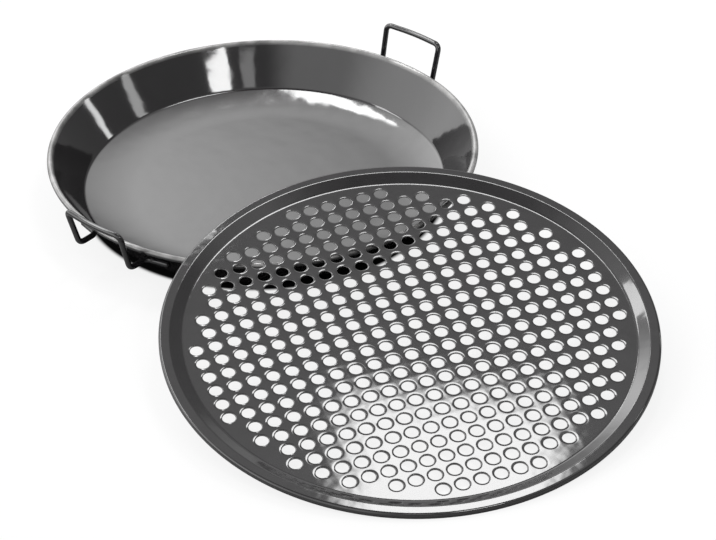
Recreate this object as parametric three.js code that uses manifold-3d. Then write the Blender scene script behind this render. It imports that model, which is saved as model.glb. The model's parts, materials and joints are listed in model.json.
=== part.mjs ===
// Enamelled baking set: a deep round pan with two wire handles, and a punched pizza tray leaning on its rim.
// Millimetres, +Z up. The origin is the centre of the pan's underside, and +X points at one of the handles.
import * as THREE from 'three';
import { mergeVertices } from 'three/addons/utils/BufferGeometryUtils.js';
import Module from 'manifold-3d';

const degrees = Math.PI / 180;

// Deep pan, pressed from one sheet and rolled over at the rim
const panSheet = 1.2;
const panFloorRadius = 136;
const panFloorBend = 200;
const shoulderRadius = 160;
const shoulderRise = 5.2;
const panFillet = 5;
const beadRadius = 187;
const beadHeight = 40.2;
const beadTube = 2.6;
const beadTuck = 0.4;

// Wire handles, welded to the pan's wall by their feet
const wireRadius = 2.5;
const wireBend = 6;
const handleHalfWidth = 30;
const handleSplay = 1.3;
const handleRise = 23.4;
const handleReach = 19;
const handleBow = 2.6;
const legStandoff = 9.5;
const footDrop = 13.2;
const footLength = 20;
const weldGap = 0.3;

// Pizza tray, pressed and punched from one sheet
const trayRadius = 200;
const traySheet = 1;
const trayRise = 5;
const trayWallRun = 9.8;
const trayFlange = 8.4;
const trayFloorBend = 6;
const trayFlangeBend = 2.5;
const lipBend = 1.6;
const lipFoot = 0.5;
const punchDiameter = 10.5;
const punchBridge = 5.3;
const punchMargin = 4.5;
const punchOverrun = 1;

// How the tray leans: its lip stands on the table and its underside lies on the pan's bead
const leanBearing = -127.4 * degrees;
const trayOverlap = 98.6;
const traySidestep = 67.9;
const traySpin = -28.1 * degrees;
const restGap = 0.3;
const tableGap = 0.05;

// Facets
const roundSides = 48;
const wireSides = 8;
const wireSteps = 60;
const shortestStraight = 0.2;
const punchSides = 6;
const bendStray = 0.1;

// Finish
const panColour = 0x47464a;
const handleColour = 0x1d1c1e;
const trayColour = 0x4a494b;
const enamelRoughness = 0.22;
const enamelMetalness = 0.1;

const wasm = await Module();
wasm.setup();

// Angle of the pan's wall: its middle line leaves the shoulder's corner and touches the bead's round
const beadMiddle = beadTube - panSheet / 2;
const shoulderHeight = panSheet / 2 + shoulderRise;
const wallRun = beadRadius - shoulderRadius;
const wallClimb = beadHeight - shoulderHeight;
const wallAngle = Math.atan2(wallClimb, wallRun) + Math.asin(beadMiddle / Math.hypot(wallRun, wallClimb));

function bakedEnamel(color) {
  return new THREE.MeshStandardMaterial({ color, roughness: enamelRoughness, metalness: enamelMetalness });
}

// Both faces of a bent sheet, worked out from the corners of its middle line, each { r, z, bend }
function sheetOutline(corners, sheet) {
  const under = [];
  const over = [];
  const put = (r, z, heading) => {
    const across = new THREE.Vector2(-Math.sin(heading), Math.cos(heading)).multiplyScalar(sheet / 2);
    under.push(new THREE.Vector2(r - across.x, z - across.y));
    over.push(new THREE.Vector2(r + across.x, z + across.y));
  };
  const headings = corners.slice(1).map((c, i) => Math.atan2(c.z - corners[i].z, c.r - corners[i].r));
  corners.forEach((corner, i) => {
    const arrive = headings[Math.max(i - 1, 0)];
    const leave = headings[Math.min(i, headings.length - 1)];
    const turn = Math.atan2(Math.sin(leave - arrive), Math.cos(leave - arrive));
    if (i === 0 || i === corners.length - 1) {
      put(corner.r, corner.z, arrive);
      return;
    }
    const side = Math.sign(turn);
    const tangent = corner.bend * Math.tan(Math.abs(turn) / 2);
    const centre = {
      r: corner.r - tangent * Math.cos(arrive) - side * corner.bend * Math.sin(arrive),
      z: corner.z - tangent * Math.sin(arrive) + side * corner.bend * Math.cos(arrive),
    };
    const bendStep = 2 * Math.acos(1 - bendStray / corner.bend);
    const steps = Math.ceil(Math.abs(turn) / bendStep);
    for (let k = 0; k <= steps; k += 1) {
      const heading = arrive + (turn * k) / steps;
      put(
        centre.r + side * corner.bend * Math.sin(heading),
        centre.z - side * corner.bend * Math.cos(heading),
        heading,
      );
    }
  });
  return [...under, ...over.reverse()];
}

function spun(outline) {
  return new THREE.LatheGeometry(outline, roundSides).rotateX(Math.PI / 2);
}

// The pan's floor, which curves up to its shoulder, and its wall and rolled bead in one outline;
// the bead's curl ends just clear of the wall
function panGeometry() {
  const half = Math.tan(wallAngle / 2);
  const floorLevel = panSheet / 2;
  const beadTop = beadHeight + beadMiddle;
  const beadFoot = beadHeight - beadMiddle;
  const beadOuter = beadRadius + beadMiddle;
  return spun(sheetOutline([
    { r: 0, z: floorLevel },
    { r: panFloorRadius, z: floorLevel, bend: panFloorBend },
    { r: shoulderRadius, z: shoulderHeight, bend: panFillet - panSheet / 2 },
    { r: beadRadius - beadMiddle * half, z: beadTop, bend: beadMiddle },
    { r: beadOuter, z: beadTop, bend: beadMiddle },
    { r: beadOuter, z: beadFoot, bend: beadMiddle },
    { r: beadRadius - beadTuck, z: beadFoot },
  ], panSheet));
}

// Radius of the pan wall's outer face at a height between the shoulder and the bead
function wallOuterRadius(height) {
  const middle = shoulderRadius + (height - shoulderHeight) / Math.tan(wallAngle);
  return middle + panSheet / 2 / Math.sin(wallAngle);
}

// A wire through corner points, with every corner rounded by as much as its two neighbours leave room for
function bentWire(corners, bends) {
  const path = new THREE.CurvePath();
  let from = corners[0];
  for (let i = 1; i < corners.length - 1; i += 1) {
    const back = corners[i - 1].clone().sub(corners[i]);
    const onward = corners[i + 1].clone().sub(corners[i]);
    const room = Math.min(bends[i], back.length() / 2, onward.length() / 2);
    const start = corners[i].clone().addScaledVector(back.normalize(), room);
    const end = corners[i].clone().addScaledVector(onward.normalize(), room);
    if (start.distanceTo(from) > shortestStraight) path.add(new THREE.LineCurve3(from, start));
    path.add(new THREE.QuadraticBezierCurve3(start, corners[i], end));
    from = end;
  }
  path.add(new THREE.LineCurve3(from, corners[corners.length - 1]));
  return path;
}

// One handle on the +X side: foot on the wall, out past the bead, up the leg, along the bowed bar and back
function handleGeometry() {
  const footHeight = beadHeight - footDrop;
  const footRadius = wallOuterRadius(footHeight) + (wireRadius + weldGap) / Math.sin(wallAngle);
  const footMiddle = footLength / 2;
  const footAngle = Math.asin(handleHalfWidth / Math.hypot(footRadius, footMiddle))
    + Math.atan2(footMiddle, footRadius);
  const seat = new THREE.Vector3(Math.cos(footAngle), Math.sin(footAngle), 0).multiplyScalar(footRadius);
  seat.z = footHeight;
  const along = new THREE.Vector3(-Math.sin(footAngle), Math.cos(footAngle), 0);
  const barHeight = beadHeight + handleRise;
  const barRadius = beadRadius + handleReach;
  const half = [
    seat.clone().addScaledVector(along, footMiddle),
    seat.clone().addScaledVector(along, -footMiddle),
    new THREE.Vector3(beadRadius + legStandoff, handleHalfWidth, footHeight),
    new THREE.Vector3(barRadius, handleHalfWidth + handleSplay, barHeight),
  ];
  const middle = new THREE.Vector3(barRadius + handleBow, 0, barHeight);
  const mirrored = half.map((p) => new THREE.Vector3(p.x, -p.y, p.z)).reverse();
  const corners = [...half, middle, ...mirrored];
  const bends = corners.map((corner) => (corner === middle ? handleHalfWidth : wireBend));
  const section = new THREE.Shape().absarc(0, 0, wireRadius, 0, 2 * Math.PI);
  return new THREE.ExtrudeGeometry(section, {
    extrudePath: bentWire(corners, bends),
    steps: wireSteps,
    curveSegments: wireSides / 2,
  });
}

function solidOf(geometry) {
  const bare = geometry.clone();
  bare.deleteAttribute('normal');
  bare.deleteAttribute('uv');
  const merged = mergeVertices(bare);
  const triangles = [];
  const index = merged.index.array;
  for (let t = 0; t < index.length; t += 3) {
    const [a, b, c] = index.subarray(t, t + 3);
    if (a !== b && b !== c && c !== a) triangles.push(a, b, c);
  }
  return new wasm.Manifold(new wasm.Mesh({
    numProp: 3,
    vertProperties: new Float32Array(merged.attributes.position.array),
    triVerts: new Uint32Array(triangles),
  }));
}

function geometryOf(solid) {
  const mesh = solid.getMesh();
  const geometry = new THREE.BufferGeometry();
  geometry.setAttribute('position', new THREE.BufferAttribute(mesh.vertProperties, 3));
  geometry.setIndex(new THREE.BufferAttribute(mesh.triVerts, 1));
  geometry.computeVertexNormals();
  return geometry;
}

// The tray before punching, in its own frame: the floor's upper face is at z = 0
const trayFloorRadius = trayRadius - trayFlange - trayWallRun;
function dishGeometry() {
  const flangeLevel = trayRise - traySheet / 2;
  const floorLevel = -traySheet / 2;
  const lipRadius = trayRadius - traySheet / 2;
  return spun(sheetOutline([
    { r: 0, z: floorLevel },
    { r: trayFloorRadius, z: floorLevel, bend: trayFloorBend },
    { r: trayFloorRadius + trayWallRun, z: flangeLevel, bend: trayFlangeBend },
    { r: lipRadius, z: flangeLevel, bend: lipBend },
    { r: lipRadius, z: lipFoot },
  ], traySheet));
}

// A square grid of punches, centred between four holes, as far out as the margin to the wall allows
function punchGeometry() {
  const pitch = punchDiameter + punchBridge;
  const field = trayFloorRadius - punchMargin - punchDiameter / 2;
  const facet = (2 * Math.PI) / punchSides;
  const cornerRadius = (punchDiameter / 2) * Math.sqrt(facet / Math.sin(facet));
  const reach = Math.floor(field / pitch - 0.5) + 0.5;
  const shapes = [];
  for (let row = -reach; row <= reach; row += 1) {
    for (let column = -reach; column <= reach; column += 1) {
      if (Math.hypot(row, column) * pitch > field) continue;
      const corners = Array.from({ length: punchSides }, (_, k) => new THREE.Vector2(
        column * pitch + cornerRadius * Math.cos(k * facet),
        row * pitch + cornerRadius * Math.sin(k * facet),
      ));
      shapes.push(new THREE.Shape(corners));
    }
  }
  const depth = 2 * punchOverrun + traySheet;
  const punches = new THREE.ExtrudeGeometry(shapes, { depth, bevelEnabled: false });
  return punches.translate(0, 0, -punchOverrun - traySheet);
}

// Tilt and place of the tray: its lip's foot is on the table and the bead is just under its floor
function leanTray(tray) {
  const lipToBead = 2 * trayRadius - trayOverlap;
  const beadBelow = beadTube + restGap + traySheet + lipFoot;
  const climb = beadHeight - tableGap;
  const span = Math.hypot(lipToBead, beadBelow);
  const tilt = Math.asin(climb / span) + Math.atan2(beadBelow, lipToBead);
  const lipReach = beadRadius + Math.sqrt(span ** 2 - climb ** 2);
  const along = lipReach - trayRadius * Math.cos(tilt) - lipFoot * Math.sin(tilt);
  const height = tableGap + trayRadius * Math.sin(tilt) - lipFoot * Math.cos(tilt);
  const lean = new THREE.Group();
  lean.add(tray);
  tray.rotation.z = traySpin - leanBearing;
  lean.rotation.set(0, tilt, leanBearing, 'ZYX');
  lean.position.set(
    along * Math.cos(leanBearing) - traySidestep * Math.sin(leanBearing),
    along * Math.sin(leanBearing) + traySidestep * Math.cos(leanBearing),
    height,
  );
  return lean;
}

function namedMesh(name, geometry, material) {
  const mesh = new THREE.Mesh(geometry, material);
  mesh.name = name;
  return mesh;
}

const set = new THREE.Group();
set.add(namedMesh('deep_pan', panGeometry(), bakedEnamel(panColour)));

[['right_handle', 0], ['left_handle', Math.PI]].forEach(([name, turn]) => {
  const handle = namedMesh(name, handleGeometry(), bakedEnamel(handleColour));
  handle.rotation.z = turn;
  set.add(handle);
});

const punched = solidOf(dishGeometry()).subtract(solidOf(punchGeometry()));
set.add(leanTray(namedMesh('pizza_tray', geometryOf(punched), bakedEnamel(trayColour))));

export default set;
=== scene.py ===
"""Looks of an enamelled baking set: a deep pan with two wire handles, and a punched pizza tray on its rim."""

import json
import math

import bmesh
import bpy
import numpy as np
from bpy.props import FloatProperty, FloatVectorProperty, IntProperty, PointerProperty
from mathutils import Matrix, Vector
from mathutils.geometry import delaunay_2d_cdt


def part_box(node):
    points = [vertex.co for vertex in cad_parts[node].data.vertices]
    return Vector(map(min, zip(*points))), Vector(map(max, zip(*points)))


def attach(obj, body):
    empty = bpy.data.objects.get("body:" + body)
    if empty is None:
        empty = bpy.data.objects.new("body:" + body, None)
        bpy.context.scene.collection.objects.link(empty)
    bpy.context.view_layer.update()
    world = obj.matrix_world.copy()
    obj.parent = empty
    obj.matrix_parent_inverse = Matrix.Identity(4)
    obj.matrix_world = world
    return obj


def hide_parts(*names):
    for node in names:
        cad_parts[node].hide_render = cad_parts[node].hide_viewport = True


bl_info = {
    "name": "Enamelled Baking Set",
    "version": (1, 0, 0),
    "blender": (4, 5, 0),
    "location": "View3D > Sidebar > Baking Set",
    "description": "A deep enamelled pan with wire handles and a punched pizza tray",
    "category": "Object",
}

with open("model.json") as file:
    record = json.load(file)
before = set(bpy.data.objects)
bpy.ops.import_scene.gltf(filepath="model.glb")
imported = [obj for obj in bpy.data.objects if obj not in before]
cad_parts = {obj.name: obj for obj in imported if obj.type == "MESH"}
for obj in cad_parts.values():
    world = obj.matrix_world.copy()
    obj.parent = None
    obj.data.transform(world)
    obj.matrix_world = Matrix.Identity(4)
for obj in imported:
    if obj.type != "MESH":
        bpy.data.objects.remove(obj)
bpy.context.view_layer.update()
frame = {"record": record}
pan_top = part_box("deep_pan")[1]
tray_seat = next(m for m in frame["record"]["mounts"] if m["name"] == "tray_floor")

# Camera of the photograph, in the part's frame
IMAGE_WIDTH = 716
CAMERA_PLACE = Vector((-1.41427, -1.36575, 1.24274))
CAMERA_LOOK = Vector((0.61807, 0.54936, -0.56231)).normalized()
CAMERA_ROLL = 0.022455
FOCAL_PIXELS = 2612.61
SENSOR_WIDTH = 36.0

# Directions of the studio: to the camera's right, and level away from it
STUDIO_AWAY = Vector((CAMERA_LOOK.x, CAMERA_LOOK.y, 0)).normalized()
STUDIO_RIGHT = Vector((STUDIO_AWAY.y, -STUDIO_AWAY.x, 0))

BEAD_TUBE = 0.0026
MILLIMETRE = 0.001

# Fineness of the meshes: turn of one facet, longest chord of a wide bend, and steps of a wire's bend
SHARP_ANGLE = math.radians(40)
PAN_BEND_STEP = math.radians(6)
TRAY_BEND_STEP = math.radians(7)
LONGEST_CHORD = 0.004
WIRE_BEND_STEPS = 14

# How far the paler edge colour shows: on the pan's bead a painted highlight, elsewhere where the enamel drew back
BEAD_PAINTED_HIGHLIGHT = 0.6
HOLE_THIN = 0.15
WELD_THIN = 0.12

# How far inside the corner of floor and wall the tray's spun rim starts
RIM_START = 0.0014

# Radii between which the floor's painted shadow, a dark patch under the pan, gives way to the pale floor, seen and
# mirrored
SEEN_PAINTED_SHADOW = 0.161
SEEN_FLOOR = 0.166
MIRRORED_PAINTED_SHADOW = 0.174
MIRRORED_FLOOR = 0.184

# Half the floor's width, and its depth below the set
FLOOR_REACH = 8.0
FLOOR_DROP = 0.0001


def linear(hex_colour):
    """An sRGB hex colour as linear red, green, blue and alpha."""
    channels = [int(hex_colour[i : i + 2], 16) / 255 for i in (1, 3, 5)]
    return tuple(c / 12.92 if c <= 0.04045 else ((c + 0.055) / 1.055) ** 2.4 for c in channels) + (1.0,)


class PanSizes(bpy.types.PropertyGroup):
    """Sizes of the deep pan."""

    sheet: FloatProperty(
        name="Sheet", description="Thickness of the enamelled steel", default=0.0012, unit="LENGTH"
    )
    floor_radius: FloatProperty(
        name="Floor radius", description="Radius at the middle of the bend from floor to shoulder",
        default=0.136,
        unit="LENGTH",
    )
    floor_bend: FloatProperty(
        name="Floor bend", description="Radius of the slow bend from floor to shoulder",
        default=0.2, unit="LENGTH",
    )
    shoulder_radius: FloatProperty(
        name="Shoulder radius", description="Radius at the corner of shoulder and wall",
        default=0.16, unit="LENGTH",
    )
    shoulder_rise: FloatProperty(
        name="Shoulder rise", description="Height of that corner above the floor",
        default=0.0052, unit="LENGTH",
    )
    fillet: FloatProperty(
        name="Fillet", description="Outer radius of the bend between shoulder and wall",
        default=0.005, unit="LENGTH",
    )
    bead_radius: FloatProperty(
        name="Bead radius", description="Radius of the rim's rolled bead, at the middle of its tube",
        default=pan_top.x - BEAD_TUBE, unit="LENGTH",
    )
    bead_height: FloatProperty(
        name="Bead height", description="Height of the middle of the bead's tube",
        default=pan_top.z - BEAD_TUBE, unit="LENGTH",
    )
    bead_tube: FloatProperty(
        name="Bead tube", description="Outer radius of the rolled bead's tube",
        default=BEAD_TUBE, unit="LENGTH",
    )
    bead_tuck: FloatProperty(
        name="Bead tuck", description="How far the bead's curl turns in under itself",
        default=0.0004, unit="LENGTH",
    )
    sides: IntProperty(name="Sides", description="Facets round the pan", default=224)


class HandleSizes(bpy.types.PropertyGroup):
    """Sizes of the wire handles."""

    wire_radius: FloatProperty(
        name="Wire radius", description="Radius of the handle wire", default=0.0025, unit="LENGTH"
    )
    wire_bend: FloatProperty(
        name="Wire bend", description="Length that each bend takes from its legs",
        default=0.006, unit="LENGTH",
    )
    half_width: FloatProperty(
        name="Half width", description="Half the distance between the legs", default=0.03, unit="LENGTH"
    )
    splay: FloatProperty(
        name="Splay", description="How far each leg leans outward at its top", default=0.0013, unit="LENGTH"
    )
    rise: FloatProperty(
        name="Rise", description="Height of the bar above the bead", default=0.0234, unit="LENGTH"
    )
    reach: FloatProperty(
        name="Reach", description="How far the bar's ends stand out from the bead",
        default=0.019, unit="LENGTH",
    )
    bow: FloatProperty(
        name="Bow", description="How far the bar's middle bows outward", default=0.0026, unit="LENGTH"
    )
    standoff: FloatProperty(
        name="Leg standoff", description="How far a leg's foot stands out from the bead",
        default=0.0095, unit="LENGTH",
    )
    foot_drop: FloatProperty(
        name="Foot drop", description="Height of the bead above the welded feet",
        default=0.0132, unit="LENGTH",
    )
    foot_length: FloatProperty(
        name="Foot length", description="Length of wire that lies along the wall", default=0.02, unit="LENGTH"
    )
    weld_gap: FloatProperty(
        name="Weld gap", description="Gap between foot and wall that the weld fills",
        default=0.0003, unit="LENGTH",
    )
    sides: IntProperty(name="Sides", description="Facets round the wire", default=20)


class TraySizes(bpy.types.PropertyGroup):
    """Sizes of the pizza tray."""

    radius: FloatProperty(
        name="Radius", description="Outer radius of the tray", default=0.2, unit="LENGTH"
    )
    sheet: FloatProperty(
        name="Sheet", description="Thickness of the enamelled steel", default=0.001, unit="LENGTH"
    )
    rise: FloatProperty(
        name="Rise", description="Height of the flange above the floor", default=0.005, unit="LENGTH"
    )
    wall_run: FloatProperty(
        name="Wall run", description="Level width of the sloping wall", default=0.0098, unit="LENGTH"
    )
    flange: FloatProperty(
        name="Flange", description="Level width of the flange and its lip", default=0.0084, unit="LENGTH"
    )
    floor_bend: FloatProperty(
        name="Floor bend", description="Radius of the bend between floor and wall",
        default=0.006, unit="LENGTH",
    )
    flange_bend: FloatProperty(
        name="Flange bend", description="Radius of the bend between wall and flange",
        default=0.0025, unit="LENGTH",
    )
    lip_bend: FloatProperty(
        name="Lip bend", description="Radius of the bend into the lip", default=0.0016, unit="LENGTH"
    )
    lip_foot: FloatProperty(
        name="Lip foot", description="Height of the lip's lower edge above the floor",
        default=0.0005, unit="LENGTH",
    )
    punch: FloatProperty(
        name="Hole", description="Diameter of a punched hole", default=0.0105, unit="LENGTH"
    )
    bridge: FloatProperty(
        name="Bridge", description="Steel left between two holes", default=0.0053, unit="LENGTH"
    )
    margin: FloatProperty(
        name="Margin", description="Unpunched floor inside the wall", default=0.0045, unit="LENGTH"
    )
    dish_reach: FloatProperty(
        name="Dish reach", description="Width of the dip that punching leaves round a hole",
        default=0.0024, unit="LENGTH",
    )
    dish_depth: FloatProperty(
        name="Dish depth", description="Depth of the dip that punching leaves round a hole",
        default=0.00013, unit="LENGTH",
    )
    edge_roll: FloatProperty(
        name="Edge roll", description="Rounding of a hole's enamelled edge", default=0.0007, unit="LENGTH"
    )
    spin: FloatProperty(
        name="Spin", description="Turn of the hole grid about the tray's axis",
        default=math.radians(-28.1), unit="ROTATION",
    )
    sides: IntProperty(name="Sides", description="Facets round the rim", default=224)
    punch_sides: IntProperty(name="Hole sides", description="Facets round a hole, in eights", default=24)


class EnamelColours(bpy.types.PropertyGroup):
    """Colours of the enamel."""

    pan: FloatVectorProperty(
        name="Pan", description="Charcoal enamel of the deep pan", size=4, subtype="COLOR",
        default=linear("#232223"),
    )
    handle: FloatVectorProperty(
        name="Handles", description="Black enamel of the wire handles", size=4, subtype="COLOR",
        default=linear("#161517"),
    )
    tray: FloatVectorProperty(
        name="Tray", description="Dark grey enamel of the pizza tray", size=4, subtype="COLOR",
        default=linear("#2b2a2b"),
    )
    # The paler grey is also the painted highlight on the top of the pan's bead
    thin_and_highlight: FloatVectorProperty(
        name="Thin enamel", description="Paler grey where the enamel drew back from an edge", size=4,
        subtype="COLOR", default=linear("#c9c8c7"),
    )


class StudioSettings(bpy.types.PropertyGroup):
    """Floor and light of the studio."""

    floor: FloatVectorProperty(
        name="Floor", description="Colour of the pale floor", size=4, subtype="COLOR",
        default=linear("#f4f4f4"),
    )
    mirrored_floor: FloatVectorProperty(
        name="Mirrored floor", description="Colour of the floor in the enamel's mirror", size=4, subtype="COLOR",
        default=linear("#a8a8a8"),
    )
    key: FloatProperty(name="Key", description="Brightness of the softbox above the tray", default=11.0)
    back: FloatProperty(name="Back", description="Brightness of the broad panel behind the pan", default=2.65)
    high: FloatProperty(
        name="High", description="Brightness of the long softbox across the handles", default=6.5,
    )
    left: FloatProperty(name="Left", description="Brightness of the studio's left wall", default=2.4)
    square: FloatProperty(name="Square", description="Brightness of the small square softbox", default=14.0)
    strip: FloatProperty(
        name="Strip", description="Brightness of the strip softbox above the back", default=12.0,
    )
    window: FloatProperty(
        name="Window", description="Brightness of the right pane, which the other panes follow", default=4.0,
    )
    sky: FloatProperty(name="Sky", description="Brightness of the studio's ceiling", default=0.8)
    low: FloatProperty(name="Low", description="Brightness of the low backdrop behind the set", default=0.7)
    dusk: FloatProperty(name="Dusk", description="Brightness of the studio's dark side", default=0.28)


class BakingSet(bpy.types.PropertyGroup):
    """All that a user would change on the baking set."""

    pan: PointerProperty(type=PanSizes, name="Pan", description="Sizes of the deep pan")
    handle: PointerProperty(type=HandleSizes, name="Handles", description="Sizes of the wire handles")
    tray: PointerProperty(type=TraySizes, name="Tray", description="Sizes of the pizza tray")
    colour: PointerProperty(type=EnamelColours, name="Colours", description="Colours of the enamel")
    studio: PointerProperty(type=StudioSettings, name="Studio", description="Floor and light")


def add_node(tree, kind, settings=None, values=None, links=None):
    """Adds one node, sets its settings and socket values, and links its inputs to other nodes' outputs."""
    node = tree.nodes.new(kind)
    for name, value in (settings or {}).items():
        setattr(node, name, value)
    for name, value in (values or {}).items():
        node.inputs[name].default_value = value
    for name, source in (links or {}).items():
        tree.links.new(source, node.inputs[name])
    return node


def per_metre(size_mm):
    """Scale of a texture whose features are that many millimetres across."""
    return 1 / (size_mm * MILLIMETRE)


# Vitreous enamel is glass fired onto steel: a deep even colour under a hard gloss, with a faint orange peel
# from the melt, slow ripples from the pressed sheet, smudges in the gloss, and paler lines where the glass
# drew back from edges, which on the top of the pan's bead are a painted highlight.
def vitreous_enamel(name, colour, thin_and_highlight_colour, gloss, ripple_width, ripple_height):
    material = bpy.data.materials.new(name)
    material.use_nodes = True
    tree = material.node_tree
    tree.nodes.clear()
    place = add_node(tree, "ShaderNodeTexCoord").outputs["Object"]
    # Share of paler colour: thin enamel at edges, and a painted highlight on the pan's bead
    thin_and_highlight = add_node(tree, "ShaderNodeAttribute", {"attribute_name": "thin_enamel_and_highlight"})
    # Clouds in the fired colour, about a thumb's width across
    cloud = add_node(
        tree, "ShaderNodeTexNoise", None,
        {"Scale": per_metre(22), "Detail": 3.0, "Roughness": 0.55}, {"Vector": place},
    )
    # Grain of the melted frit, drawn at 1.6 mm because its real 0.4 mm would not show
    grain = add_node(
        tree, "ShaderNodeTexNoise", None,
        {"Scale": per_metre(1.6), "Detail": 2.0, "Roughness": 0.6}, {"Vector": place},
    )
    cloud_shade = add_node(
        tree, "ShaderNodeMapRange", None,
        {"From Min": 0.3, "From Max": 0.7, "To Min": 0.9, "To Max": 1.1}, {"Value": cloud.outputs["Fac"]},
    )
    grain_shade = add_node(
        tree, "ShaderNodeMapRange", None,
        {"From Min": 0.3, "From Max": 0.7, "To Min": 0.94, "To Max": 1.06}, {"Value": grain.outputs["Fac"]},
    )
    shade = add_node(
        tree, "ShaderNodeMath", {"operation": "MULTIPLY"}, None,
        {0: cloud_shade.outputs["Result"], 1: grain_shade.outputs["Result"]},
    )
    body = add_node(
        tree, "ShaderNodeVectorMath", {"operation": "SCALE"}, {0: colour[:3]}, {"Scale": shade.outputs["Value"]}
    )
    # The paler edge and painted highlight come and go along their length
    edge = add_node(
        tree, "ShaderNodeMapRange", None,
        {"From Min": 0.35, "From Max": 0.65, "To Min": 0.35, "To Max": 1.0}, {"Value": cloud.outputs["Fac"]},
    )
    edge_share = add_node(
        tree, "ShaderNodeMath", {"operation": "MULTIPLY"}, None,
        {0: edge.outputs["Result"], 1: thin_and_highlight.outputs["Fac"]},
    )
    tint = add_node(
        tree, "ShaderNodeMix", {"data_type": "RGBA"}, {7: thin_and_highlight_colour},
        {0: edge_share.outputs["Value"], 6: body.outputs["Vector"]},
    )
    # Smudges in the gloss, about a hand's width across
    smudge = add_node(
        tree, "ShaderNodeTexNoise", None,
        {"Scale": per_metre(60), "Detail": 4.0, "Roughness": 0.6}, {"Vector": place},
    )
    dull = add_node(
        tree, "ShaderNodeMapRange", None,
        {"From Min": 0.3, "From Max": 0.7, "To Min": gloss * 0.8, "To Max": gloss * 1.25},
        {"Value": smudge.outputs["Fac"]},
    )
    # Orange peel of the melt
    peel = add_node(
        tree, "ShaderNodeTexNoise", None,
        {"Scale": per_metre(5), "Detail": 1.0}, {"Vector": place},
    )
    peel_bump = add_node(
        tree, "ShaderNodeBump", None, {"Strength": 0.25, "Distance": 0.00004}, {"Height": peel.outputs["Fac"]}
    )
    # Slow ripples that pressing leaves in the sheet
    ripple = add_node(
        tree, "ShaderNodeTexNoise", None,
        {"Scale": per_metre(ripple_width), "Detail": 1.0}, {"Vector": place},
    )
    ripple_bump = add_node(
        tree, "ShaderNodeBump", None, {"Strength": 1.0, "Distance": ripple_height},
        {"Height": ripple.outputs["Fac"], "Normal": peel_bump.outputs["Normal"]},
    )
    shader = add_node(
        tree, "ShaderNodeBsdfPrincipled", None, {"Metallic": 0.0, "IOR": 1.68},
        {
            "Base Color": tint.outputs[2],
            "Roughness": dull.outputs["Result"],
            "Normal": ripple_bump.outputs["Normal"],
        },
    )
    add_node(tree, "ShaderNodeOutputMaterial", None, None, {"Surface": shader.outputs["BSDF"]})
    return material


def mesh_piece(name, points, faces, marks, material):
    """A smooth closed mesh with its marks (values by vertex) and its material."""
    mesh = bpy.data.meshes.new(name)
    mesh.from_pydata(points, [], faces)
    for mark, values in marks.items():
        layer = mesh.attributes.new(mark, "FLOAT", "POINT")
        layer.data.foreach_set("value", np.asarray(values, np.float32))
    work = bmesh.new()
    work.from_mesh(mesh)
    bmesh.ops.recalc_face_normals(work, faces=work.faces)
    work.to_mesh(mesh)
    work.free()
    mesh.shade_smooth()
    mesh.set_sharp_from_angle(angle=SHARP_ANGLE)
    mesh.materials.append(material)
    piece = bpy.data.objects.new(name, mesh)
    bpy.context.scene.collection.objects.link(piece)
    return piece


def bent_sheet(corners, sheet, step):
    """Both faces of a bent sheet, from the corners (r, z, bend radius) of its middle line, outward."""
    middle = []
    headings = [math.atan2(b[1] - a[1], b[0] - a[0]) for a, b in zip(corners, corners[1:])]
    for i, (r, z, bend) in enumerate(corners):
        arrive = headings[max(i - 1, 0)]
        leave = headings[min(i, len(headings) - 1)]
        turn = math.atan2(math.sin(leave - arrive), math.cos(leave - arrive))
        if abs(turn) < 1e-6:
            middle.append((r, z, arrive))
            continue
        side = math.copysign(1, turn)
        tangent = bend * math.tan(abs(turn) / 2)
        centre_r = r - tangent * math.cos(arrive) - side * bend * math.sin(arrive)
        centre_z = z - tangent * math.sin(arrive) + side * bend * math.cos(arrive)
        steps = max(2, math.ceil(abs(turn) / step), math.ceil(bend * abs(turn) / LONGEST_CHORD))
        for k in range(steps + 1):
            heading = arrive + turn * k / steps
            middle.append((
                centre_r + side * bend * math.sin(heading),
                centre_z - side * bend * math.cos(heading),
                heading,
            ))
    # Rows close to the ends of a straight run keep its shading flat
    rows = []
    for one, two in zip(middle, middle[1:]):
        rows.append(one)
        if abs(one[2] - two[2]) < 1e-6 and math.dist(one[:2], two[:2]) > 3 * sheet:
            for share in (0.06, 0.94):
                rows.append((*(a + (b - a) * share for a, b in zip(one[:2], two[:2])), one[2]))
    rows.append(middle[-1])
    halves = [(r, z, -math.sin(h) * sheet / 2, math.cos(h) * sheet / 2) for r, z, h in rows]
    under = [(r - across, z - rise) for r, z, across, rise in halves]
    over = [(r + across, z + rise) for r, z, across, rise in halves]
    return under, over


def spun(outline, sides):
    """Points and faces of an outline (r, z) turned about the Z axis; a point with r = 0 is one vertex."""
    points, rings, faces = [], [], []
    turns = [2 * math.pi * k / sides for k in range(sides)]
    for r, z in outline:
        first = len(points)
        if r < 1e-9:
            points.append((0.0, 0.0, z))
            rings.append([first] * sides)
        else:
            points.extend((r * math.cos(a), r * math.sin(a), z) for a in turns)
            rings.append(list(range(first, first + sides)))
    for one, two in zip(rings, rings[1:]):
        for k in range(sides):
            face = [one[k], one[(k + 1) % sides], two[(k + 1) % sides], two[k]]
            kept = list(dict.fromkeys(face))
            if len(kept) > 2:
                faces.append(kept)
    return points, faces


def wall_angle(pan):
    """Angle of the pan's wall above level, from the shoulder's corner to the bead's round."""
    run = pan.bead_radius - pan.shoulder_radius
    climb = pan.bead_height - pan.shoulder_rise - pan.sheet / 2
    tube = pan.bead_tube - pan.sheet / 2
    return math.atan2(climb, run) + math.asin(tube / math.hypot(run, climb))


def wall_radius(pan, height):
    """Radius of the outer face of the pan's wall at a height."""
    angle = wall_angle(pan)
    climb = height - pan.shoulder_rise - pan.sheet / 2
    return pan.shoulder_radius + climb / math.tan(angle) + pan.sheet / 2 / math.sin(angle)


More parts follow.
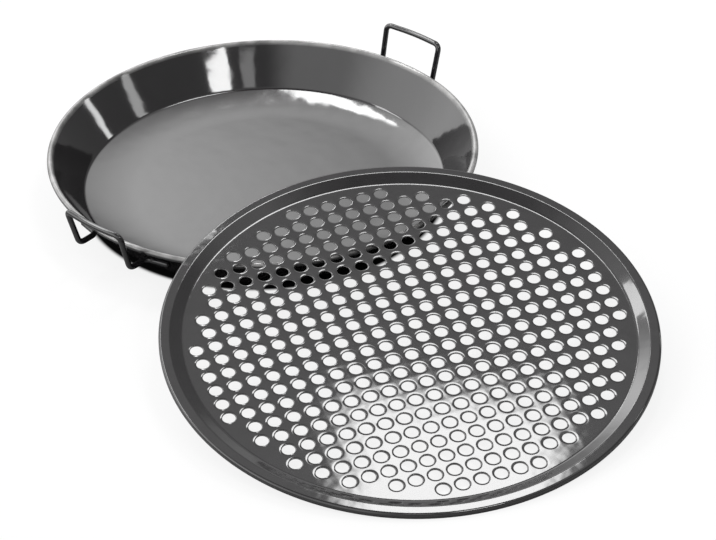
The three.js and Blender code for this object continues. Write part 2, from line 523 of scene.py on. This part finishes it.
class BAKING_OT_pan(bpy.types.Operator):
    """Make the deep pan with its rolled bead"""

    bl_idname = "baking.pan"
    bl_label = "Deep Pan"

    def execute(self, context):
        baking = context.scene.baking_set
        pan = baking.pan
        half = math.tan(wall_angle(pan) / 2)
        tube = pan.bead_tube - pan.sheet / 2
        level = pan.sheet / 2
        corners = [(pan.floor_radius * share, level, 0) for share in (0, 0.25, 0.5, 0.75)]
        corners += [
            (pan.floor_radius, level, pan.floor_bend),
            (pan.shoulder_radius, level + pan.shoulder_rise, pan.fillet - pan.sheet / 2),
            (pan.bead_radius - tube * half, pan.bead_height + tube, tube),
            (pan.bead_radius + tube, pan.bead_height + tube, tube),
            (pan.bead_radius + tube, pan.bead_height - tube, tube),
            (pan.bead_radius - pan.bead_tuck, pan.bead_height - tube, 0),
        ]
        under, over = bent_sheet(corners, pan.sheet, PAN_BEND_STEP)
        points, faces = spun(under + over[::-1], pan.sides)
        heights = np.array(points)[:, 2]
        # Painted highlight: the bead's top, above the middle of its tube, is painted paler
        thin_and_highlight = BEAD_PAINTED_HIGHLIGHT * np.clip((heights - pan.bead_height) / tube, 0, 1)
        enamel = vitreous_enamel(
            "vitreous_enamel_charcoal", baking.colour.pan, baking.colour.thin_and_highlight,
            gloss=0.06, ripple_width=24, ripple_height=0.0002,
        )
        piece = mesh_piece("deep_pan_shell", points, faces, {"thin_enamel_and_highlight": thin_and_highlight}, enamel)
        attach(piece, "pan")
        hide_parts("deep_pan")
        return {"FINISHED"}


def rounded_path(corners, bends, steps):
    """Points along corners whose turns are rounded by as much as their neighbours leave room for."""
    path = [corners[0]]
    for before, corner, after, bend in zip(corners, corners[1:], corners[2:], bends[1:]):
        back, onward = before - corner, after - corner
        room = min(bend, back.length / 2, onward.length / 2)
        start = corner + back.normalized() * room
        end = corner + onward.normalized() * room
        for k in range(steps + 1):
            t = k / steps
            path.append(start * (1 - t) ** 2 + corner * (2 * t * (1 - t)) + end * t**2)
    path.append(corners[-1])
    kept = [path[0]]
    for point in path[1:]:
        if (point - kept[-1]).length > 1e-5:
            kept.append(point)
    return kept


def swept_wire(path, radius, sides, dome_steps=5):
    """Points and faces of a round wire along a path, with domed ends."""
    tangents = []
    for i in range(len(path)):
        tangents.append((path[min(i + 1, len(path) - 1)] - path[max(i - 1, 0)]).normalized())
    across = tangents[0].orthogonal().normalized()
    stations = []
    for i, (point, tangent) in enumerate(zip(path, tangents)):
        if i:
            across = tangents[i - 1].rotation_difference(tangent) @ across
        stations.append((point, tangent, across.copy(), radius))
    domes = [math.pi / 2 * k / dome_steps for k in range(1, dome_steps)]
    head = [(p - t * radius * math.sin(a), t, n, radius * math.cos(a)) for a in domes[::-1]
            for p, t, n, _ in stations[:1]]
    tail = [(p + t * radius * math.sin(a), t, n, radius * math.cos(a)) for a in domes
            for p, t, n, _ in stations[-1:]]
    rows = head + stations + tail
    points = [path[0] - tangents[0] * radius]
    for point, tangent, normal, size in rows:
        other = tangent.cross(normal)
        for k in range(sides):
            turn = 2 * math.pi * k / sides
            points.append(point + (normal * math.cos(turn) + other * math.sin(turn)) * size)
    points.append(path[-1] + tangents[-1] * radius)
    return points, tube_faces(len(rows), sides)


def tube_faces(rows, sides):
    """Faces of a tube whose first and last points close its two ends."""
    faces = []
    for row in range(rows - 1):
        for k in range(sides):
            after = (k + 1) % sides
            low, high = 1 + row * sides, 1 + (row + 1) * sides
            faces.append((low + k, low + after, high + after, high + k))
    last = 1 + rows * sides
    for k in range(sides):
        after = (k + 1) % sides
        faces.append((0, 1 + after, 1 + k))
        faces.append((last, last - sides + k, last - sides + after))
    return faces


def weld_bead(pan, height, bearing, length, sides=16, rows=26):
    """Points and faces of one weld along the pan's wall, with the ripples of the torch."""
    angle = wall_angle(pan)
    radius = wall_radius(pan, height)
    spread, stand, lift = 3.5 * MILLIMETRE, 1.45 * MILLIMETRE, 0.95 * MILLIMETRE
    ripple_pitch, ripple_depth = 1.7 * MILLIMETRE, 0.07
    points = []
    for row in range(rows):
        t = -1 + 2 * row / (rows - 1)
        offset = t * length / 2
        turn = bearing + offset / radius
        flat = Vector((math.cos(turn), math.sin(turn), 0))
        out = flat * math.sin(angle) - Vector((0, 0, 1)) * math.cos(angle)
        up = flat * math.cos(angle) + Vector((0, 0, 1)) * math.sin(angle)
        centre = flat * radius + Vector((0, 0, height)) + out * lift
        swell = max(0.0, 1 - abs(t) ** 3.2) ** 0.5
        swell *= 1 + ripple_depth * math.sin(2 * math.pi * offset / ripple_pitch)
        if row in (0, rows - 1):
            points.append(centre)
            continue
        for k in range(sides):
            around = 2 * math.pi * k / sides
            points.append(centre + (up * (spread * math.cos(around)) + out * (stand * math.sin(around))) * swell)
    return points, tube_faces(rows - 2, sides)


class BAKING_OT_handles(bpy.types.Operator):
    """Make the two wire handles and the welds that hold them"""

    bl_idname = "baking.handles"
    bl_label = "Wire Handles"

    def execute(self, context):
        baking = context.scene.baking_set
        pan, handle = baking.pan, baking.handle
        foot_height = pan.bead_height - handle.foot_drop
        angle = wall_angle(pan)
        foot_radius = wall_radius(pan, foot_height) + (handle.wire_radius + handle.weld_gap) / math.sin(angle)
        foot_middle = handle.foot_length / 2
        bearing = math.asin(handle.half_width / math.hypot(foot_radius, foot_middle))
        bearing += math.atan2(foot_middle, foot_radius)
        seat = Vector((math.cos(bearing) * foot_radius, math.sin(bearing) * foot_radius, foot_height))
        along = Vector((-math.sin(bearing), math.cos(bearing), 0))
        bar_height = pan.bead_height + handle.rise
        bar_radius = pan.bead_radius + handle.reach
        half = [
            seat + along * foot_middle,
            seat - along * foot_middle,
            Vector((pan.bead_radius + handle.standoff, handle.half_width, foot_height)),
            Vector((bar_radius, handle.half_width + handle.splay, bar_height)),
        ]
        middle = Vector((bar_radius + handle.bow, 0, bar_height))
        corners = half + [middle] + [Vector((p.x, -p.y, p.z)) for p in half[::-1]]
        bends = [handle.half_width if corner is middle else handle.wire_bend for corner in corners]
        path = rounded_path(corners, bends, WIRE_BEND_STEPS)
        points, faces = swept_wire(path, handle.wire_radius, handle.sides)
        enamel = vitreous_enamel(
            "vitreous_enamel_black", baking.colour.handle, baking.colour.thin_and_highlight,
            gloss=0.08, ripple_width=20, ripple_height=0.0001,
        )
        for side, turn in (("right", 0.0), ("left", math.pi)):
            about = Matrix.Rotation(turn, 3, "Z")
            placed = [about @ p for p in points]
            thin_and_highlight = np.zeros(len(placed))
            wire = mesh_piece(f"{side}_handle_wire", placed, faces, {"thin_enamel_and_highlight": thin_and_highlight}, enamel)
            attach(wire, "pan")
            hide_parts(f"{side}_handle")
            weld_points, weld_faces = [], []
            for foot in (bearing, -bearing):
                some, their_faces = weld_bead(pan, foot_height, foot + turn, handle.foot_length * 0.8)
                first = len(weld_points)
                weld_points.extend(some)
                weld_faces.extend(tuple(first + i for i in face) for face in their_faces)
            thin_and_highlight = np.full(len(weld_points), WELD_THIN)
            weld = mesh_piece(f"{side}_handle_welds", weld_points, weld_faces, {"thin_enamel_and_highlight": thin_and_highlight}, enamel)
            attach(weld, "pan")
        return {"FINISHED"}


def punched_cells(tray, floor_radius):
    """Points, faces, marks and border edges of the square cells of sheet round each hole of the tray."""
    pitch = tray.punch + tray.bridge
    hole = tray.punch / 2
    field = floor_radius - tray.margin - hole
    reach = math.floor(field / pitch - 0.5) + 0.5
    steps = np.arange(-reach, reach + 0.5)
    rows, columns = np.meshgrid(steps, steps)
    held = np.hypot(rows, columns) * pitch <= field
    centres = np.stack([columns[held], rows[held]], 1) * pitch
    sides = tray.punch_sides
    turns = 2 * np.pi * np.arange(sides) / sides
    circle = np.stack([np.cos(turns), np.sin(turns)], 1)
    square = circle / np.abs(circle).max(1, keepdims=True) * pitch / 2
    wide, rolled = hole + tray.dish_reach, hole + tray.edge_roll
    rings = [(square, 0.0, 0.0)]
    for share in np.linspace(0, 1, 6):
        rings.append((circle * (wide + (rolled - wide) * share), -tray.dish_depth * share**2, 0.0))
    for turn in np.radians([25, 50, 75, 90]):
        size = hole + tray.edge_roll * (1 - math.sin(turn))
        depth = tray.dish_depth + tray.edge_roll * (1 - math.cos(turn))
        rings.append((circle * size, -depth, HOLE_THIN))
    base = -tray.sheet
    rings.append((circle * hole, base + tray.edge_roll * 0.3, HOLE_THIN))
    rings.append((circle * (hole + tray.edge_roll * 0.3), base, HOLE_THIN))
    rings.append((circle * wide, base, 0.0))
    rings.append((square, base, 0.0))
    shape = np.concatenate([np.column_stack([xy, np.full(sides, z)]) for xy, z, _ in rings])
    mark = np.concatenate([np.full(sides, m) for _, _, m in rings])
    k = np.arange(sides)
    after = (k + 1) % sides
    strips = [
        np.stack([r * sides + k, r * sides + after, (r + 1) * sides + after, (r + 1) * sides + k], 1)
        for r in range(len(rings) - 1)
    ]
    cell_faces = np.concatenate(strips)
    shift = np.column_stack([centres, np.zeros(len(centres))])
    points = (shift[:, None, :] + shape[None]).reshape(-1, 3)
    faces = (np.arange(len(centres))[:, None, None] * len(shape) + cell_faces[None]).reshape(-1, 4)
    marks = np.tile(mark, len(centres))
    # Neighbouring cells share the points of their sides
    _, first, back = np.unique(np.round(points / 1e-6).astype(np.int64), axis=0, return_index=True,
                               return_inverse=True)
    points, marks, faces = points[first], marks[first], back.reshape(-1)[faces]
    sides_of_cells = back.reshape(-1).reshape(len(centres), len(rings), sides)[:, 0]
    edges = np.stack([sides_of_cells, np.roll(sides_of_cells, -1, axis=1)], 2).reshape(-1, 2)
    _, where, count = np.unique(np.sort(edges, 1), axis=0, return_index=True, return_counts=True)
    return points, faces, marks, edges[where[count == 1]]


class BAKING_OT_tray(bpy.types.Operator):
    """Make the punched pizza tray, leaning on the pan's bead"""

    bl_idname = "baking.tray"
    bl_label = "Pizza Tray"

    def execute(self, context):
        baking = context.scene.baking_set
        tray = baking.tray
        floor_radius = tray.radius - tray.flange - tray.wall_run
        points, faces, marks, border = punched_cells(tray, floor_radius)
        points, faces, marks = points.tolist(), faces.tolist(), marks.tolist()
        level = -tray.sheet / 2
        flange_level = tray.rise - tray.sheet / 2
        lip_radius = tray.radius - tray.sheet / 2
        under, over = bent_sheet(
            [
                (floor_radius - RIM_START, level, 0),
                (floor_radius, level, tray.floor_bend),
                (floor_radius + tray.wall_run, flange_level, tray.flange_bend),
                (lip_radius, flange_level, tray.lip_bend),
                (lip_radius, tray.lip_foot, 0),
            ],
            tray.sheet, TRAY_BEND_STEP,
        )
        rim_points, rim_faces = spun(over + under[::-1], tray.sides)
        rim_first = len(points)
        points.extend(rim_points)
        marks.extend([0.0] * len(rim_points))
        faces.extend([rim_first + i for i in face] for face in rim_faces)
        # Plain sheet between the outer cells and the rim, above and below
        above = sorted(set(border.ravel().tolist()))
        ring = list(range(rim_first, rim_first + tray.sides))
        below_ring = list(range(len(points) - tray.sides, len(points)))
        known = above + ring
        number = {vertex: i for i, vertex in enumerate(known)}
        edges = [(number[a], number[b]) for a, b in border.tolist()]
        edges += [(len(above) + k, len(above) + (k + 1) % tray.sides) for k in range(tray.sides)]
        flat = [Vector(points[v][:2]) for v in known]
        found = delaunay_2d_cdt(flat, edges, [], 0, 1e-7)
        if len(found[0]) != len(flat):
            raise RuntimeError("the plain sheet of the tray could not be divided")
        source = [names[0] for names in found[3]]
        pitch = tray.punch + tray.bridge
        lookup = {(round(x, 6), round(y, 6)): i for i, (x, y, z) in enumerate(points[:rim_first])
                  if abs(z + tray.sheet) < 1e-9}
        low = {}
        for vertex in above:
            low[vertex] = lookup[(round(points[vertex][0], 6), round(points[vertex][1], 6))]
        low.update(zip(ring, below_ring))
        field = floor_radius - tray.margin - tray.punch / 2
        for corner in found[2]:
            vertices = [known[source[i]] for i in corner]
            x = sum(points[v][0] for v in vertices) / 3
            y = sum(points[v][1] for v in vertices) / 3
            column = math.floor(x / pitch) + 0.5
            row = math.floor(y / pitch) + 0.5
            if math.hypot(row, column) * pitch <= field:
                continue
            faces.append(vertices)
            faces.append([low[v] for v in vertices][::-1])
        normal = Vector(tray_seat["axis"]).normalized()
        lean = math.atan2(normal.y, normal.x)
        turn = (
            Matrix.Rotation(lean, 4, "Z")
            @ Matrix.Rotation(math.acos(normal.z), 4, "Y")
            @ Matrix.Rotation(tray.spin - lean, 4, "Z")
        )
        placed = Matrix.Translation(Vector(tray_seat["pos_m"])) @ turn
        enamel = vitreous_enamel(
            "vitreous_enamel_dark_grey", baking.colour.tray, baking.colour.thin_and_highlight,
            gloss=0.06, ripple_width=13, ripple_height=0.0001,
        )
        grid = np.array(points) @ np.array(placed.to_3x3()).T + np.array(placed.translation)
        piece = mesh_piece("pizza_tray_sheet", grid.tolist(), faces, {"thin_enamel_and_highlight": marks}, enamel)
        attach(piece, "tray")
        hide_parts("pizza_tray")
        return {"FINISHED"}


def studio_point(right, away, up):
    """A place in the studio, from the pan's centre: to the camera's right, away from it, and up."""
    return STUDIO_RIGHT * right + STUDIO_AWAY * away + Vector((0, 0, up))


def softbox(name, place, target, across, width, height, brightness, feather=0.2):
    """A flat soft lamp at a place, facing a target, its width along across; brightness is that of its face.

    Feather is the share of the face, at each side, over which the light falls off to its edge.
    """
    lamp = bpy.data.lights.new(name, "AREA")
    lamp.shape = "RECTANGLE"
    lamp.size = width
    lamp.size_y = height
    lamp.energy = brightness * math.pi * width * height
    lamp.use_nodes = True
    tree = lamp.node_tree
    tree.nodes.clear()
    face = add_node(tree, "ShaderNodeNewGeometry").outputs["Parametric"]
    sides = add_node(tree, "ShaderNodeSeparateXYZ", None, None, {0: face})
    shares = []
    for axis in ("X", "Y"):
        distance = add_node(
            tree, "ShaderNodeMath", {"operation": "PINGPONG"}, {1: 0.5}, {0: sides.outputs[axis]}
        )
        share = add_node(
            tree, "ShaderNodeMapRange", {"interpolation_type": "SMOOTHSTEP"},
            {"From Min": 0.0, "From Max": feather}, {"Value": distance.outputs["Value"]},
        )
        shares.append(share.outputs["Result"])
    glow = add_node(
        tree, "ShaderNodeMath", {"operation": "MULTIPLY"}, None, {0: shares[0], 1: shares[1]}
    )
    shine = add_node(tree, "ShaderNodeEmission", None, None, {"Strength": glow.outputs["Value"]})
    add_node(tree, "ShaderNodeOutputLight", None, None, {"Surface": shine.outputs["Emission"]})
    holder = bpy.data.objects.new(name, lamp)
    facing = (target - place).normalized()
    side = (across - facing * across.dot(facing)).normalized()
    up = side.cross(facing)
    axes = Matrix((side, up, -facing)).transposed()
    holder.matrix_world = Matrix.Translation(place) @ axes.to_4x4()
    holder.visible_camera = False
    bpy.context.scene.collection.objects.link(holder)


# Matt painted board: an even pale face that takes the soft shadow of what stands on it, and a painted shadow under
# the pan
def painted_board(colour, mirrored_colour):
    material = bpy.data.materials.new("matt_painted_board")
    material.use_nodes = True
    tree = material.node_tree
    tree.nodes.clear()
    white = add_node(tree, "ShaderNodeEmission", None, {"Strength": 1.0})
    path = add_node(tree, "ShaderNodeLightPath")
    # Painted shadow: the board has a dark patch under the pan's flare, which the outer wall mirrors
    place = add_node(tree, "ShaderNodeTexCoord").outputs["Object"]
    distance = add_node(tree, "ShaderNodeVectorMath", {"operation": "LENGTH"}, None, {0: place})
    seen_beyond_painted_shadow = add_node(
        tree, "ShaderNodeMapRange", {"interpolation_type": "SMOOTHSTEP"},
        {"From Min": SEEN_PAINTED_SHADOW, "From Max": SEEN_FLOOR}, {"Value": distance.outputs["Value"]},
    )
    mirrored_beyond_painted_shadow = add_node(
        tree, "ShaderNodeMapRange", {"interpolation_type": "SMOOTHSTEP"},
        {"From Min": MIRRORED_PAINTED_SHADOW, "From Max": MIRRORED_FLOOR}, {"Value": distance.outputs["Value"]},
    )
    floor_beyond_painted_shadow = add_node(
        tree, "ShaderNodeMix", {"data_type": "FLOAT"}, None,
        {0: path.outputs["Is Camera Ray"], 2: mirrored_beyond_painted_shadow.outputs["Result"], 3: seen_beyond_painted_shadow.outputs["Result"]},
    )
    tone = add_node(
        tree, "ShaderNodeMix", {"data_type": "RGBA"}, {6: mirrored_colour, 7: colour},
        {0: path.outputs["Is Camera Ray"]},
    )
    # Painted shadow: the near-black colour of the patch under the pan
    shade = add_node(
        tree, "ShaderNodeMix", {"data_type": "RGBA"}, {6: linear("#161616")},
        {0: floor_beyond_painted_shadow.outputs[0], 7: tone.outputs[2]},
    )
    board = add_node(tree, "ShaderNodeBsdfDiffuse", None, None, {"Color": shade.outputs[2]})
    white_floor = add_node(
        tree, "ShaderNodeMath", {"operation": "MULTIPLY"}, None,
        {0: floor_beyond_painted_shadow.outputs[0], 1: path.outputs["Is Camera Ray"]},
    )
    share = add_node(
        tree, "ShaderNodeMath", {"operation": "MULTIPLY"}, {1: 0.84}, {0: white_floor.outputs["Value"]}
    )
    mixed = add_node(
        tree, "ShaderNodeMixShader", None, None,
        {0: share.outputs["Value"], 1: board.outputs["BSDF"], 2: white.outputs["Emission"]},
    )
    add_node(tree, "ShaderNodeOutputMaterial", None, None, {"Surface": mixed.outputs["Shader"]})
    return material


class BAKING_OT_stage(bpy.types.Operator):
    """Make the floor, the light and the camera"""

    bl_idname = "baking.stage"
    bl_label = "Stage"

    def execute(self, context):
        scene = context.scene
        studio = scene.baking_set.studio
        scene.view_settings.view_transform = "Standard"
        reach = FLOOR_REACH
        floor_mesh = bpy.data.meshes.new("studio_floor")
        floor_mesh.from_pydata(
            [(-reach, -reach, 0), (reach, -reach, 0), (reach, reach, 0), (-reach, reach, 0)], [], [(0, 1, 2, 3)]
        )
        floor_mesh.materials.append(painted_board(studio.floor, studio.mirrored_floor))
        floor = bpy.data.objects.new("studio_floor", floor_mesh)
        floor.location.z = -FLOOR_DROP
        scene.collection.objects.link(floor)
        middle = studio_point(0, 0, 0)
        softbox(
            "key_box", studio_point(0.25, 0.29, 1.1), studio_point(0.25, 0.2, 0), STUDIO_RIGHT,
            0.34, 0.4, studio.key,
        )
        across_handles = STUDIO_RIGHT * 0.664 + STUDIO_AWAY * 0.747
        softbox(
            "long_box", studio_point(-1.03, 0.65, 1.6), middle, across_handles,
            1.6, 0.3, studio.high, 0.1,
        )
        softbox(
            "back_panel", studio_point(-0.35, 1.25, 0.88), middle, STUDIO_RIGHT,
            2.2, 1.1, studio.back, 0.5,
        )
        softbox(
            "strip_box", studio_point(-0.094, 1.03, 1.155), studio_point(0, 0.11, 0), STUDIO_RIGHT,
            0.066, 0.46, studio.strip, 0.12,
        )
        back_wall = studio_point(-0.045, 0.165, 0.02)
        softbox(
            "square_box", studio_point(0.532, -0.912, 0.98), back_wall, STUDIO_RIGHT,
            0.3, 0.2, studio.square, 0.08,
        )
        softbox(
            "dim_pane", studio_point(0.19, -1.04, 1.0), back_wall, STUDIO_RIGHT,
            0.22, 0.26, studio.window * 0.5,
        )
        left_wall = studio_point(-0.13, 0.11, 0.02)
        softbox(
            "right_pane", studio_point(1.29, -0.03, 0.76), left_wall, STUDIO_AWAY,
            0.17, 0.26, studio.window,
        )
        softbox(
            "small_pane", studio_point(1.28, 0.59, 0.5), left_wall, STUDIO_AWAY,
            0.11, 0.15, studio.window * 2,
        )
        self.world(scene, studio)
        self.camera(scene)
        return {"FINISHED"}

    def world(self, scene, studio):
        """The studio round the stage: walls, a low backdrop, and a ceiling that is dark straight above."""
        world = bpy.data.worlds.new("studio")
        scene.world = world
        world.use_nodes = True
        tree = world.node_tree
        tree.nodes.clear()
        place = add_node(tree, "ShaderNodeTexCoord").outputs["Generated"]
        leftward = add_node(
            tree, "ShaderNodeVectorMath", {"operation": "DOT_PRODUCT"},
            {1: -STUDIO_RIGHT}, {0: place},
        )
        dim_wall = add_node(
            tree, "ShaderNodeMapRange", {"interpolation_type": "SMOOTHSTEP"},
            {"From Min": 0.0, "From Max": 0.3, "To Min": studio.dusk, "To Max": studio.left * 0.55},
            {"Value": leftward.outputs["Value"]},
        )
        bright_wall = add_node(
            tree, "ShaderNodeMapRange", {"interpolation_type": "SMOOTHSTEP"},
            {"From Min": 0.6, "From Max": 0.9, "To Min": 0.0, "To Max": studio.left * 0.45},
            {"Value": leftward.outputs["Value"]},
        )
        wall = add_node(
            tree, "ShaderNodeMath", {"operation": "ADD"}, None,
            {0: dim_wall.outputs["Result"], 1: bright_wall.outputs["Result"]},
        )
        height = add_node(tree, "ShaderNodeSeparateXYZ", None, None, {0: place})
        behind = add_node(
            tree, "ShaderNodeVectorMath", {"operation": "DOT_PRODUCT"},
            {1: (STUDIO_AWAY - STUDIO_RIGHT * 0.5).normalized()}, {0: place},
        )
        paper = add_node(
            tree, "ShaderNodeMapRange", {"interpolation_type": "SMOOTHSTEP"},
            {"From Min": 0.4, "From Max": 0.8, "To Min": 0.0, "To Max": studio.low},
            {"Value": behind.outputs["Value"]},
        )
        paper_top = add_node(
            tree, "ShaderNodeMapRange", {"interpolation_type": "SMOOTHSTEP"},
            {"From Min": 0.24, "From Max": 0.4, "To Min": 1.0, "To Max": 0.0}, {"Value": height.outputs["Z"]},
        )
        backdrop = add_node(
            tree, "ShaderNodeMath", {"operation": "MULTIPLY"}, None,
            {0: paper.outputs["Result"], 1: paper_top.outputs["Result"]},
        )
        around = add_node(
            tree, "ShaderNodeMath", {"operation": "MAXIMUM"}, None,
            {0: wall.outputs["Value"], 1: backdrop.outputs["Value"]},
        )
        ceiling = add_node(
            tree, "ShaderNodeMapRange", {"interpolation_type": "SMOOTHSTEP"}, {"From Min": 0.66, "From Max": 0.85},
            {"Value": height.outputs["Z"]},
        )
        overhead = add_node(
            tree, "ShaderNodeMapRange", {"interpolation_type": "SMOOTHSTEP"},
            {"From Min": 0.86, "From Max": 0.96, "To Min": studio.sky, "To Max": studio.sky * 0.2},
            {"Value": height.outputs["Z"]},
        )
        level = add_node(
            tree, "ShaderNodeMix", {"data_type": "FLOAT"}, None,
            {0: ceiling.outputs["Result"], 2: around.outputs["Value"], 3: overhead.outputs["Result"]},
        )
        glow = add_node(
            tree, "ShaderNodeBackground", None, {"Color": linear("#ffffff")}, {"Strength": level.outputs[0]}
        )
        add_node(tree, "ShaderNodeOutputWorld", None, None, {"Surface": glow.outputs["Background"]})

    def camera(self, scene):
        """The photograph's camera."""
        lens = bpy.data.cameras.new("camera")
        lens.sensor_fit = "HORIZONTAL"
        lens.sensor_width = SENSOR_WIDTH
        lens.lens = FOCAL_PIXELS * SENSOR_WIDTH / IMAGE_WIDTH
        lens.clip_end = 50
        right = STUDIO_RIGHT
        down = CAMERA_LOOK.cross(right)
        across = right * math.cos(CAMERA_ROLL) + down * math.sin(CAMERA_ROLL)
        up = right * math.sin(CAMERA_ROLL) - down * math.cos(CAMERA_ROLL)
        axes = Matrix((across, up, -CAMERA_LOOK)).transposed()
        holder = bpy.data.objects.new("camera", lens)
        holder.matrix_world = Matrix.Translation(CAMERA_PLACE) @ axes.to_4x4()
        scene.collection.objects.link(holder)
        scene.camera = holder


class BAKING_PT_sidebar(bpy.types.Panel):
    """Sizes, colours and makers of the baking set"""

    bl_idname = "BAKING_PT_sidebar"
    bl_label = "Baking Set"
    bl_space_type = "VIEW_3D"
    bl_region_type = "UI"
    bl_category = "Baking Set"

    def draw(self, context):
        baking = context.scene.baking_set
        for group, makers in (
            ("pan", ["baking.pan"]),
            ("handle", ["baking.handles"]),
            ("tray", ["baking.tray"]),
            ("colour", []),
            ("studio", ["baking.stage"]),
        ):
            box = self.layout.box()
            sizes = getattr(baking, group)
            for name in sizes.__annotations__:
                box.prop(sizes, name)
            for maker in makers:
                box.operator(maker)


CLASSES = (
    PanSizes,
    HandleSizes,
    TraySizes,
    EnamelColours,
    StudioSettings,
    BakingSet,
    BAKING_OT_pan,
    BAKING_OT_handles,
    BAKING_OT_tray,
    BAKING_OT_stage,
    BAKING_PT_sidebar,
)


def register():
    for each in CLASSES:
        bpy.utils.register_class(each)
    bpy.types.Scene.baking_set = PointerProperty(type=BakingSet, name="Baking Set", description="The baking set")


def unregister():
    del bpy.types.Scene.baking_set
    for each in reversed(CLASSES):
        bpy.utils.unregister_class(each)


def main():
    register()
    bpy.ops.baking.stage()
    bpy.ops.baking.pan()
    bpy.ops.baking.handles()
    bpy.ops.baking.tray()


if __name__ == "__main__":
    main()
